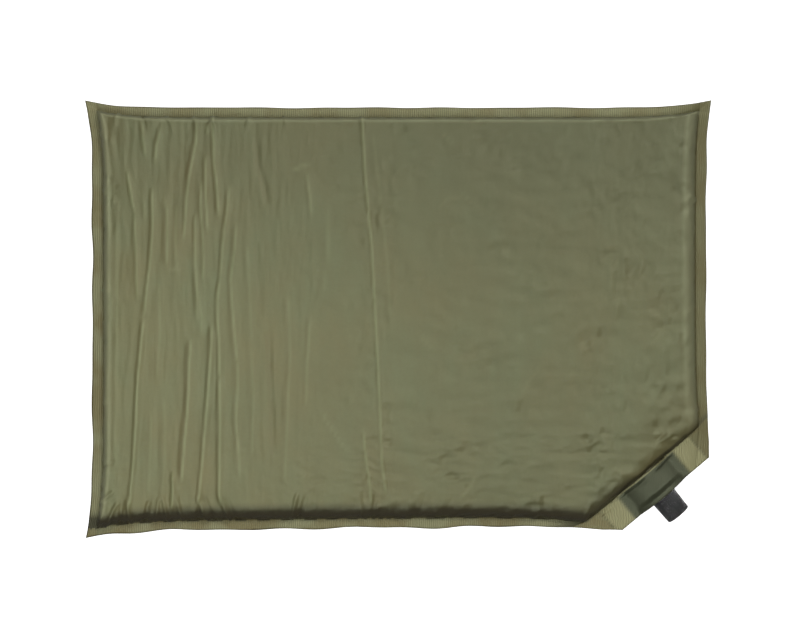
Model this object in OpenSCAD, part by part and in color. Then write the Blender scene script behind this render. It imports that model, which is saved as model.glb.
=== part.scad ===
// Self-inflating pad: two fabric covers welded together round an open-cell foam core,
// with a twist valve welded into the one cut corner. Turning the cap anticlockwise lifts it
// off its stopper and lets air through.
// +X runs along the pad, +Y across it and +Z up. The origin is on the ground under its middle.

/* [Pad] */
// Length over the weld, along X
pad_l = 500; // [440:5:600]
// Width over the weld, along Y
pad_w = 350; // [320:5:420]
// Thickness when it is full of air
pad_t = 30; // [28:1:40]
// Thickness of the coated fabric
cover_t = 0.5; // [0.4:0.1:1]
// Width of the weld along the plain edges
weld_w = 9; // [7:1:12]
// How far the air draws the middle of each edge in
draw_in = 5.5; // [0:0.5:7]

/* [Fold] */
// Where the pad folds in half, along X
fold_x = -16; // [-30:1:30]
// Bevel on the foam beside the fold, which stands for the foam squeezed there
fold_bevel = 6; // [4:1:9]

/* [Cut corner] */
// How far the cut corner's edge faces away from +X, clockwise
valve_angle = 50; // [46:1:54]
// Distance from the middle of the pad to the cut corner's edge
cut_reach = 244.5; // [238:0.5:248]
// Width of the welded strip along the cut corner
strip_w = 24; // [23:1:28]
// Where the valve stands along the cut corner, from its middle
valve_shift = -2.5; // [-6:0.5:6]

/* [Valve] */
// Length of the boat-shaped base along the cut corner
boat_l = 44; // [40:1:48]
// Height of the base at its middle
boat_h = 15; // [14:0.5:16]
// Depth of the base, from its inner face to its outer face
boat_depth = 13; // [11:0.5:14]
// Outside diameter of the stem
stem_d = 12; // [11.5:0.1:12.2]
// Diameter of the stem's air passage
passage_d = 8; // [7:0.1:8.2]
// Outside diameter of the cap at its foot
cap_d = 21.5; // [20.5:0.5:22]
// Length of the cap
cap_l = 22; // [21:0.5:24]
// Number of grip grooves round the cap
cap_grooves = 36; // [24:1:38]
// Diameter of the mouthpiece in the cap's end
mouth_d = 10; // [9:0.5:11]
// How far one full turn moves the cap
thread_lead = 4; // [3.6:0.1:4.2]

/* [Hidden] */
$fn = 48;

mid_z = pad_t / 2;
half_t = pad_t / 2;
clearance = 0.25; // between soft parts that don't move together

// The lower edge runs up a little towards the cut corner.
lower_tilt = 0.7;
lower_normal = 270 + lower_tilt;
lower_reach = -pad_l / 2 * cos(lower_normal) - pad_w / 2 * sin(lower_normal);

// Anticlockwise from the right: the direction that each edge faces, its distance from the
// middle, its share of draw_in, the width of its weld, and the width of the shoulder inside it.
FACES = 0;
REACH = 1;
DRAWN = 2;
WELD = 3;
SHOULDER = 4;
edges = [
    [0, pad_l / 2, 0.65, weld_w, 13],
    [90, pad_w / 2, 1, weld_w - 1, 6],
    [180, pad_l / 2, 1, weld_w, 9],
    [lower_normal, lower_reach, 1, weld_w - 1, 15],
    [360 - valve_angle, cut_reach, 0, strip_w, 12],
];
edge_count = len(edges);
edge_steps = 12;
corner_steps = 4;
cut_steps = 28;
pull_length = 22; // along an edge, over which the draw-in grows from its corner
tip_r = 1; // corners of the weld's outer edge
weld_r = 5; // corners of the weld's inner edge
wall_step = 15; // degrees of the wall's quarter turn from one ring to the next
boat_in = 7; // from the cut edge in to the valve base's outer face
flare_in = 3.5; // where the fabric has opened out round the cap's foot

// --- Outline of the pad ---

function edge(i) = edges[i % edge_count];
function faces(i) = edge(i)[FACES] + (i < edge_count ? 0 : 360);

// Where edge i meets the next one, when they are moved in by in_a and in_b.
function meet(i, in_a, in_b) =
    let (a = faces(i), b = faces(i + 1),
         ra = edge(i)[REACH] - in_a, rb = edge(i + 1)[REACH] - in_b)
    [ra * sin(b) - rb * sin(a), rb * cos(a) - ra * cos(b)] / sin(b - a);

// The middle of the valve, on the cut edge.
valve_place = (meet(edge_count - 2, 0, 0) + meet(edge_count - 1, 0, 0)) / 2
    + valve_shift * [sin(valve_angle), cos(valve_angle)];

// A rounded corner between edge i and the next one.
function corner(i, insets, r) =
    let (centre = meet(i, insets[i] + r, insets[(i + 1) % edge_count] + r))
    [for (k = [0:corner_steps])
        let (q = faces(i) + (faces(i + 1) - faces(i)) * k / corner_steps)
        centre + r * [cos(q), sin(q)]];

// How much of the draw-in shows at distance s along an edge of length l.
function pull(s, l) = (1 - exp(-s / pull_length)) * (1 - exp(-(l - s) / pull_length));

// The point at distance s along edge i, which runs between two corners.
function edge_point(i, from, to, s) =
    let (l = norm(to - from), inward = -[cos(edge(i)[FACES]), sin(edge(i)[FACES])])
    from + (to - from) * s / l + inward * draw_in * edge(i)[DRAWN] * pull(s, l);

// The points of edge i between its two corners, closer together near them. The cut edge, which
// has the valve in its middle, has more of them and even gaps.
function drawn_edge(i, from, to) =
    let (cut = i == edge_count - 1, n = cut ? cut_steps : edge_steps)
    [for (k = [1:n - 1])
        edge_point(i, from, to, norm(to - from) * (cut ? k / n : (1 - cos(180 * k / n)) / 2))];

// Each edge's inset, and the corners' radius, where the wall has climbed from the weld at 0
// degrees towards the flat of the pad at 90, as a quarter ellipse.
function wall_insets(climb, inner) = [for (e = edges) e[WELD] + e[SHOULDER] * (1 - cos(climb)) + inner];
function wall_radius(climb, inner) = weld_r + 6 * (1 - cos(climb)) - inner;

// --- Soft parts ---

// A solid skinned over rings that have the same number of points. Each end is closed by
// triangles round its middle, since the pad's outline bows inwards.
module loft(rings) {
    n = len(rings[0]);
    last = len(rings) - 1;
    middles = [for (r = [rings[0], rings[last]]) [for (p = r) 1] * r / n];
    walls = [for (k = [0:last - 1], j = [0:n - 1])
        let (a = k * n + j, b = k * n + (j + 1) % n)
        each [[a, a + n, b + n], [a, b + n, b]]];
    first_end = [for (j = [0:n - 1]) [(last + 1) * n, j, (j + 1) % n]];
    last_end = [for (j = [0:n - 1]) [(last + 1) * n + 1, last * n + (j + 1) % n, last * n + j]];
    polyhedron(
        points = concat([for (r = rings) each r], middles),
        faces = concat(first_end, walls, last_end),
        convexity = 6);
}

// How far the fabric stands off the plane of the weld at point p, over the valve's base and
// round the cap's foot.
function lift(p) =
    let (out = [cos(valve_angle), -sin(valve_angle)],
         a = (p - valve_place) * out,
         y = (p - valve_place) * [-out[1], out[0]],
         flare = min(1, max(0, (a + boat_in) / (boat_in - flare_in))),
         half_h = boat_h / 2 + flare * (cap_d - boat_h + 0.6) / 2 + clearance,
         half_w = boat_l / 2 + flare + clearance)
    a > -2 * strip_w && abs(y) < half_w ? half_h * (1 - pow(y / half_w, 2)) : 0;

// The whole outline at height z over the plane of the weld. skin is the fabric's thickness on
// its outer face and 0 on its inner one.
function ring(insets, r, z, skin) =
    let (corners = [for (i = [0:edge_count - 1]) corner(i, insets, r)])
    [for (i = [0:edge_count - 1])
        let (next = corners[(i + 1) % edge_count])
        each [for (p = concat(corners[i],
                              drawn_edge((i + 1) % edge_count, corners[i][corner_steps], next[0])))
            [p[0], p[1], max(z, skin + lift(p))]]];

// The fabric cover for the upper side, on the plane of the weld: down its inner face, out under
// the weld, back over it and up its outer face.
module cover() {
    rise = half_t - cover_t;
    weld_steps = [0, flare_in / strip_w, boat_in / strip_w, 0.65, 1];
    function weld_ring(f, skin) =
        ring([for (e = edges) e[WELD] * f], tip_r + (weld_r - tip_r) * f, skin, skin);
    loft(concat(
        [for (climb = [90:-wall_step:0])
            ring(wall_insets(climb, cover_t), wall_radius(climb, cover_t), rise * sin(climb), 0)],
        [for (k = [len(weld_steps) - 1:-1:0]) weld_ring(weld_steps[k], 0)],
        [for (f = weld_steps) weld_ring(f, cover_t)],
        [for (climb = [wall_step:wall_step:90])
            ring(wall_insets(climb, 0), wall_radius(climb, 0), cover_t + rise * sin(climb), cover_t)]));
}

module top_cover() {
    color("#6f7152") translate([0, 0, mid_z]) cover();
}

module bottom_cover() {
    color("#696b4d") translate([0, 0, mid_z]) mirror([0, 0, 1]) cover();
}

// Half of an edge, from one of its corners to the fold at x, or back if the corner comes last.
function half_edge(i, from, to, x, corner_first) =
    let (l = norm(to - from),
         cut = l * (from[0] - x) / (from[0] - to[0]),
         corner_s = corner_first ? 0 : l,
         toward_fold = [for (k = [1:edge_steps])
             edge_point(i, from, to, corner_s + (cut - corner_s) * (1 - cos(90 * k / edge_steps)))],
         exact = [for (k = [0:edge_steps - 1])
             k < edge_steps - 1 ? toward_fold[k] : [x, toward_fold[k][1]]])
    corner_first ? exact : [for (k = [edge_steps - 1:-1:0]) exact[k]];

// The outline at height z on one side of the fold, which is at x there.
function half_ring(insets, r, z, x, side) =
    let (c = [for (i = [0:edge_count - 1]) corner(i, insets, r)],
         last = corner_steps,
         upper = half_edge(1, c[0][last], c[1][0], x, side > 0),
         lower = half_edge(3, c[2][last], c[3][0], x, side < 0))
    [for (p = side < 0
            ? concat(upper, c[1], drawn_edge(2, c[1][last], c[2][0]), c[2], lower)
            : concat(lower, c[3], drawn_edge(4, c[3][last], c[4][0]), c[4],
                     drawn_edge(0, c[4][last], c[0][0]), c[0], upper))
        [p[0], p[1], z]];

// The foam on one side of the fold: -1 on the left, 1 on the right.
module foam_half(side) {
    skin = cover_t + clearance;
    gap = 0.15;
    top = half_t - skin;
    loft([for (climb = [-90:wall_step:90])
        let (z = top * sin(climb), bevel = max(0, fold_bevel - (top - z)))
        half_ring(wall_insets(climb, skin), wall_radius(climb, skin), mid_z + z,
                  fold_x + side * (gap + bevel), side)]);
}

module foam_core_right() {
    color("#d9cf9a") foam_half(1);
}

module foam_core_left() {
    color("#d9cf9a") foam_half(-1);
}

// --- Valve, along its own axis: 0 is the cut edge, and outward is positive ---

cap_foot = -2.5;
cap_end = cap_foot + cap_l;
stem_end = 10.5;
stem_inner_end = -boat_in - boat_depth - 4;
core_r = stem_d / 2 - 0.5;
thread_from = 4.4;
thread_to = 10.2;
thread_crest = 0.9; // height of a thread over its wall
chamber_r = stem_d / 2 + 0.9;
stopper_r = 3.6;
stopper_from = 12.3;
stopper_l = 2.4;
pin_r = 1.5;
seal_section = 1.8;
seal_at = -1; // middle of the O-ring in its groove

// Moves the valve's own axis into place, at height z.
module at_valve(z) {
    translate([valve_place[0], valve_place[1], z])
        rotate([0, 0, -valve_angle]) rotate([0, 90, 0]) children();
}

// A ring of the thread's section, at angle q round the axis. wall is the radius that it stands
// on, and rise is how far it stands out, negative for a thread inside a bore.
function thread_section(q, a, wall, rise) =
    let (foot = wall - sign(rise) * 0.3, root = 0.95, crest = 0.55)
    [for (p = [[foot, -root], [foot, root], [wall + rise, crest], [wall + rise, -crest]])
        [p[0] * cos(q), p[0] * sin(q), a + p[1]]];

// A right-handed thread from a0 to a1, started at angle q0.
module thread(a0, a1, q0, wall, rise) {
    step = 15;
    turn = (a1 - a0 - 2) / thread_lead * 360;
    sections = [for (q = [0:step:turn])
        thread_section(q0 + q, a0 + 1 + thread_lead * q / 360, wall, rise)];
    loft(rise > 0 ? sections : [for (s = sections) [for (k = [3:-1:0]) s[k]]]);
}

module valve_boat() {
    color("#2b2d2a") at_valve(mid_z) difference() {
        translate([0, 0, -boat_in - boat_depth]) linear_extrude(boat_depth)
            polygon([for (q = [0:10:350])
                [boat_h / 2 * cos(q) * abs(cos(q)), boat_l / 2 * sin(q)]]);
        translate([0, 0, -boat_in - boat_depth - 1]) cylinder(h = boat_depth + 2, r = stem_d / 2);
    }
}

module valve_stem() {
    spider_from = 6.5;
    spider_h = 3;
    slot_w = 3;
    color("#1d1d1c") at_valve(mid_z) {
        difference() {
            union() {
                translate([0, 0, stem_inner_end])
                    cylinder(h = thread_from - 0.4 - stem_inner_end, r = stem_d / 2);
                translate([0, 0, thread_from - 1]) cylinder(h = stem_end - thread_from + 1, r = core_r);
                translate([0, 0, -boat_in]) cylinder(h = 1.5, r = stem_d / 2 + 1.5);
                thread(thread_from, thread_to, 0, core_r, thread_crest);
            }
            translate([0, 0, stem_inner_end - 1])
                cylinder(h = stem_end - stem_inner_end + 2, r = passage_d / 2);
            for (q = [0, 90])
                rotate([0, 0, q]) translate([-stem_d, -slot_w / 2, stem_inner_end - 1])
                    cube([2 * stem_d, slot_w, 4]);
        }
        for (q = [0:120:240])
            rotate([0, 0, q]) translate([0, -0.6, spider_from]) cube([passage_d / 2 + 0.5, 1.2, spider_h]);
        translate([0, 0, spider_from]) cylinder(h = spider_h, r = 2.2);
        translate([0, 0, spider_from]) cylinder(h = stopper_from + stopper_l - 0.6 - spider_from, r = pin_r);
    }
}

module valve_stopper() {
    color("#3a3a38") at_valve(mid_z) translate([0, 0, stopper_from]) difference() {
        rotate_extrude() polygon([[0, 0], [stopper_r - 0.5, 0], [stopper_r, 0.5],
                                  [stopper_r, stopper_l - 0.5], [stopper_r - 0.5, stopper_l], [0, stopper_l]]);
        translate([0, 0, -1]) cylinder(h = stopper_l + 0.4, r = pin_r);
    }
}

module valve_cap() {
    top_r = cap_d / 2 - 0.65;
    floor_from = 12.5;
    floor_to = 15;
    edge_r = 1.2;
    groove_r = 0.62;
    draft = atan((cap_d / 2 - top_r) / cap_l);
    color("#191918") at_valve(mid_z) {
        difference() {
            rotate_extrude() polygon(concat(
                [[chamber_r, cap_foot], [cap_d / 2, cap_foot]],
                [for (q = [0:15:90]) [top_r - edge_r + edge_r * cos(q), cap_end - edge_r + edge_r * sin(q)]],
                [[mouth_d / 2 + 0.5, cap_end], [mouth_d / 2, cap_end - 0.5], [mouth_d / 2, floor_to],
                 [stopper_r + 0.1, floor_to], [stopper_r + 0.1, floor_from], [chamber_r, floor_from]]));
            for (k = [0:cap_grooves - 1])
                rotate([0, 0, 360 * k / cap_grooves]) translate([cap_d / 2 + 0.12, 0, cap_foot - 1])
                    rotate([0, -draft, 0]) cylinder(h = cap_l + 2, r = groove_r, $fn = 16);
            translate([0, 0, seal_at - seal_section / 2 - 0.1])
                cylinder(h = seal_section + 0.2, r = stem_d / 2 + seal_section + 0.1);
        }
        thread(thread_from, thread_to + 1, 180, chamber_r, -thread_crest);
    }
}

module cap_seal() {
    color("#2e2e2c") at_valve(mid_z) translate([0, 0, seal_at])
        rotate_extrude() translate([stem_d / 2 + 0.05 + seal_section / 2, 0]) circle(d = seal_section);
}

top_cover();
bottom_cover();
foam_core_right();
foam_core_left();
valve_boat();
valve_stem();
valve_stopper();
valve_cap();
cap_seal();
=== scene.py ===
"""The looks of the self-inflating pad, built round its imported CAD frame.

Both fabric covers are made here, because their folds, puckers and welds are soft shapes. The foam,
the valve's base, stem and stopper, its cap and the O-ring are the CAD's own and get materials. The
foam is also drawn in a little under the covers, and the cap's edges are rounded.
Lengths in the code are millimetres unless a comment or a name says metres.
"""

import math

import bmesh
import bpy
import numpy as np
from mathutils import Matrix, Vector


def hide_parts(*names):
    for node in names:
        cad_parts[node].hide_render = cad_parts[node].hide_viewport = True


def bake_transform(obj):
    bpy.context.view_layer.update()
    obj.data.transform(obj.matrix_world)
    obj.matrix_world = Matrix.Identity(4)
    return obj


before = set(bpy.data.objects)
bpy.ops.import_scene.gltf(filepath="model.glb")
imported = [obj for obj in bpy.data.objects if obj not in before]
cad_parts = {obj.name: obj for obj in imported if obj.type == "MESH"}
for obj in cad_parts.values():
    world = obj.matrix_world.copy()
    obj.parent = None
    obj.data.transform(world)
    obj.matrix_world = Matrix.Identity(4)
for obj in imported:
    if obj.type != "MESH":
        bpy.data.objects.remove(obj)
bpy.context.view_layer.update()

MM = 0.001

# --- The pad's form, as the CAD has it ---

HALF_L, HALF_W, HALF_T = 250.0, 175.0, 15.0
COVER_T = 0.5
RISE = HALF_T - COVER_T
# The lower side isn't quite parallel to the upper one in the photograph.
LOWER_TILT = math.radians(0.7)
LOWER_REACH = HALF_W * math.cos(LOWER_TILT) - HALF_L * math.sin(LOWER_TILT)
RIGHT, UPPER, LEFT, LOWER, CUT = range(5)
# Each side: the way it faces (degrees), how far out its edge is, how much of DRAW_IN it is drawn in
# by, how wide its weld is and how wide its wall is.
FACES, REACH, DRAWN, WELD, SHOULDER = range(5)
SIDES = [
    (0.0, HALF_L, 0.65, 9.0, 13.0),
    (90.0, HALF_W, 1.0, 8.0, 6.0),
    (180.0, HALF_L, 1.0, 9.0, 9.0),
    (270.7, LOWER_REACH, 1.0, 8.0, 15.0),
    (310.0, 244.5, 0.0, 24.0, 12.0),
]
NEXT_TO = {
    RIGHT: (CUT, UPPER),
    UPPER: (RIGHT, LEFT),
    LEFT: (UPPER, LOWER),
    LOWER: (LEFT, CUT),
    CUT: (LOWER, RIGHT),
}
# A filled pad draws its edges in between the corners: by how much, and how fast from a corner.
DRAW_IN = 5.5
PULL_LENGTH = 22.0
# How far in over the flat the drawn-in edge still moves the fabric.
PULL_FADE = 55.0
# How much steeper each side's wall is than a quarter ellipse, and how soft its upper edge is then.
STEEPEN = [1.0, 1.15, 1.12, 1.0, 1.0]
SOFT_EDGE = 0.06
# How much lower the top lies beside its walls, how far in from them, and the most for two walls.
SAG, SAG_REACH, SAG_MOST = 0.8, 14.0, 1.6
# How far the cut corner's wall leans out over the strip.
CUT_LEAN = 0.8
# The storage crease that the pad folds at, how far the bend reaches to each side of it, and how
# far the foam is drawn in so that it stays under the creased cover.
FOLD_X, FOLD_REACH, FOAM_PRESSED = -16.0, 13.0, 2.2
# The valve's base: its length and height, how far in from the cut edge its body and its flared end
# are, then the cap's width and the covers' clearance round the base.
BOAT_L, BOAT_H, BOAT_IN, FLARE_IN, CAP_D, CLEARANCE = 44.0, 15.0, 7.0, 3.5, 21.5, 0.25
# How far in from the cut edge the fabric's lift over the base ends, and over what length it fades.
BOAT_BEHIND, BOAT_END = 31.0, 6.0
# Distances in from the cut side at which the covers' grids have a line along it.
CUT_LINES = (0.0, FLARE_IN, BOAT_IN, 20.0, SIDES[CUT][WELD], 29.0, 34.0)


def normal(i):
    """The direction that side i faces."""
    a = math.radians(SIDES[i][FACES])
    return np.array([math.cos(a), math.sin(a)])


def along(i):
    """The direction along side i, anticlockwise round the pad."""
    a = math.radians(SIDES[i][FACES])
    return np.array([-math.sin(a), math.cos(a)])


def meet(i, j):
    """Where the outer edges of sides i and j meet."""
    m = np.array([normal(i), normal(j)])
    return np.linalg.solve(m, [SIDES[i][REACH], SIDES[j][REACH]])


CORNERS = {(i, (i + 1) % 5): meet(i, (i + 1) % 5) for i in range(5)}
VALVE_AT = (CORNERS[LOWER, CUT] + CORNERS[CUT, RIGHT]) / 2 - 2.5 * along(CUT)


def arc_of(i):
    """The length of side i's wall up its quarter ellipse."""
    a, b = SIDES[i][SHOULDER], RISE
    return math.pi / 4 * (3 * (a + b) - math.sqrt((3 * a + b) * (a + 3 * b)))


def smooth(x):
    """A soft step: 0 up to x = 0, and 1 from x = 1."""
    x = np.clip(x, 0.0, 1.0)
    return x * x * (3 - 2 * x)


# --- Noise that is the same on every run ---


class Noise:
    """Smooth 2-D noise from a fixed set of waves, about -1 to 1."""

    def __init__(self, seed, wavelength, stretch=(1.0, 1.0)):
        waves, spread = 24, 0.5
        rng = np.random.default_rng(seed)
        angle = rng.uniform(0, 2 * math.pi, waves)
        k = 2 * math.pi / (wavelength * rng.uniform(1 - spread, 1 + spread, waves))
        self.k = np.stack([k * np.cos(angle) / stretch[0], k * np.sin(angle) / stretch[1]])
        self.phase = rng.uniform(0, 2 * math.pi, waves)
        self.scale = math.sqrt(2 / waves) * 0.8

    def __call__(self, x, y):
        total = np.zeros_like(x)
        for kx, ky, p in zip(self.k[0], self.k[1], self.phase):
            total += np.sin(kx * x + ky * y + p)
        return total * self.scale


def waves_along(seed, lengths):
    """A 1-D sum of waves, about -1 to 1."""
    rng = np.random.default_rng(seed)
    phases = rng.uniform(0, 2 * math.pi, len(lengths))

    def at(s):
        waves = [np.sin(2 * math.pi * s / w + p) for w, p in zip(lengths, phases)]
        return sum(waves) / math.sqrt(len(lengths))

    return at


# --- Flat grid that every cover starts from ---


def side_steps(i, weld_steps, wall_steps):
    """Distances in from side i at which grid lines run: even over the weld, then up the wall."""
    weld, shoulder = SIDES[i][WELD], SIDES[i][SHOULDER]
    flat = [weld * k / weld_steps for k in range(weld_steps)]
    turns = [math.pi / 2 * k / wall_steps for k in range(wall_steps + 1)]
    return np.array(flat + [weld + shoulder * (1 - math.cos(turn)) for turn in turns])


def grid_lines(low_side, high_side, low, high, pitches, weld_steps, wall_steps):
    """Grid lines across the pad: its two edges, and between them stretches of even pitch. Pitches
    is a list of (where the stretch ends, pitch)."""
    first = low + side_steps(low_side, weld_steps, wall_steps)
    last = high - side_steps(high_side, weld_steps, wall_steps)[::-1]
    lines, at = [first], first[-1]
    for end, pitch in pitches:
        end = min(end, last[0])
        n = round((end - at) / pitch)
        lines.append(np.linspace(at, end, n + 1)[1:])
        at = end
    # The last stretch ends on the first line of the high side's wall, which last has too.
    lines[-1] = lines[-1][:-1]
    return np.concatenate([*lines, last])


def lower_run_up(x):
    """How much of the lower side's tilt there is at x, as a share of the pad's width."""
    return (x + HALF_L) * math.tan(LOWER_TILT) / (2 * HALF_W)


def flat_grid(pitch_x, pitch_y, weld_steps, wall_steps):
    """A flat mesh over the pad with its cut corner trimmed off. Its cut edge lies further out than
    the pad's, by the extra fabric that the corner's wall takes up."""
    xs = grid_lines(LEFT, RIGHT, -HALF_L, HALF_L, pitch_x, weld_steps, wall_steps)
    ys = grid_lines(LOWER, UPPER, -HALF_W, HALF_W, pitch_y, weld_steps, wall_steps)
    gx, gy = np.meshgrid(xs, ys)
    gy = gy + (HALF_W - gy) * lower_run_up(gx)
    nx, ny = len(xs), len(ys)
    k = np.arange((ny - 1) * nx).reshape(ny - 1, nx)[:, :-1].ravel()
    faces = np.stack([k, k + 1, k + nx + 1, k + nx], axis=1)
    mesh = bpy.data.meshes.new("flat")
    co = np.stack([gx.ravel(), gy.ravel(), np.zeros(nx * ny)], axis=1)
    mesh.from_pydata(co.tolist(), [], faces.tolist())
    bm = bmesh.new()
    bm.from_mesh(mesh)
    n4 = Vector((*normal(CUT), 0))
    reach = SIDES[CUT][REACH] + arc_of(CUT) - SIDES[CUT][SHOULDER]
    for inset in CUT_LINES:
        bmesh.ops.bisect_plane(
            bm, geom=bm.verts[:] + bm.edges[:] + bm.faces[:], dist=0.02,
            plane_co=n4 * (reach - inset), plane_no=n4, clear_outer=inset == 0.0,
        )
    bm.to_mesh(mesh)
    bm.free()
    return mesh


def insets(x, y):
    """Each point's distance in from the four square sides, over the grid."""
    g = lower_run_up(x)
    level_y = (y - HALF_W * g) / (1 - g)
    return {RIGHT: HALF_L - x, UPPER: HALF_W - y, LEFT: x + HALF_L, LOWER: level_y + HALF_W}


def cut_slide(x, y):
    """Draws the grid's points in where the fabric climbs the cut corner's wall. Returns the new
    points, their inset from the cut side, and how far up its wall each is."""
    n4, t4 = normal(CUT), along(CUT)
    weld, shoulder, arc = SIDES[CUT][WELD], SIDES[CUT][SHOULDER], arc_of(CUT)
    extra = arc - shoulder
    reach = SIDES[CUT][REACH] + extra
    q = reach - (x * n4[0] + y * n4[1])
    turn = np.clip((q - weld) / arc, 0, 1) * math.pi / 2
    on_wall = weld + shoulder * (1 - np.cos(turn))
    inset = np.where(q < weld, q, np.where(q < weld + arc, on_wall, q - extra))
    slide = inset + extra - q
    ends = []
    for corner, other in (((LOWER, CUT), LOWER), ((CUT, RIGHT), RIGHT)):
        t = along(other)
        w = -t / (t @ n4)
        ends.append((CORNERS[corner] @ t4, w @ t4))
    (at_a, lean_a), (at_b, lean_b) = ends
    share = np.clip((x * t4[0] + y * t4[1] - at_a) / (at_b - at_a), 0, 1)
    lean = lean_a + (lean_b - lean_a) * share
    return x + slide * (lean * t4[0] - n4[0]), y + slide * (lean * t4[1] - n4[1]), inset, turn


def wall_turn(i, inset):
    """How far up side i's wall a point is, from 0 at the weld to a quarter turn on the flat."""
    weld, shoulder = SIDES[i][WELD], SIDES[i][SHOULDER]
    return np.arccos(np.clip(1 - (inset - weld) / shoulder, 0, 1))


def past_shoulder(i, inset):
    """How far a point on the flat is from the top of side i's wall."""
    return np.maximum(inset - SIDES[i][WELD] - SIDES[i][SHOULDER], 0)


def wall_climb(i, turn):
    """How high side i's wall is at a turn, as a share of its rise: a quarter ellipse, steepened so
    that it meets the flat top at a soft edge."""
    steep = np.sin(turn) * STEEPEN[i]
    if STEEPEN[i] <= 1:
        return steep
    near = np.clip(0.5 + (1 - steep) / (2 * SOFT_EDGE), 0, 1)
    return near * steep + (1 - near) - SOFT_EDGE * near * (1 - near)


def pulled(i, inset, turn, insets_by_side):
    """How far side i's edge is drawn in at each point, before it fades into the pad."""
    level = np.where(inset < SIDES[i][WELD], inset / SIDES[i][WELD], 1.0)
    total = np.full_like(inset, DRAW_IN * SIDES[i][DRAWN])
    for j in NEXT_TO[i]:
        corner_inset = level * SIDES[j][WELD] + SIDES[j][SHOULDER] * (1 - np.cos(turn))
        total *= 1 - np.exp(-np.maximum(insets_by_side[j] - corner_inset, 0) / PULL_LENGTH)
    return total


def valve_lift(x, y):
    """How far the fabric stands off the weld's plane over the valve's base and the cap's foot, and
    each point's place out from the cut edge (a) and along it from the valve (s)."""
    n4, t4 = normal(CUT), along(CUT)
    a = (x - VALVE_AT[0]) * n4[0] + (y - VALVE_AT[1]) * n4[1]
    s = (x - VALVE_AT[0]) * t4[0] + (y - VALVE_AT[1]) * t4[1]
    flare = np.clip((a + BOAT_IN) / (BOAT_IN - FLARE_IN), 0, 1)
    half_h = BOAT_H / 2 + flare * (CAP_D - BOAT_H + 0.6) / 2 + CLEARANCE
    half_w = BOAT_L / 2 + flare + CLEARANCE
    shape = half_h * np.maximum(1 - (s / half_w) ** 2, 0)
    return shape * smooth((a + BOAT_BEHIND) / BOAT_END), a, s


# --- Folds and puckers ---

# How much higher than listed the creases stand.
CREASE_SCALE = 1.35
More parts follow.
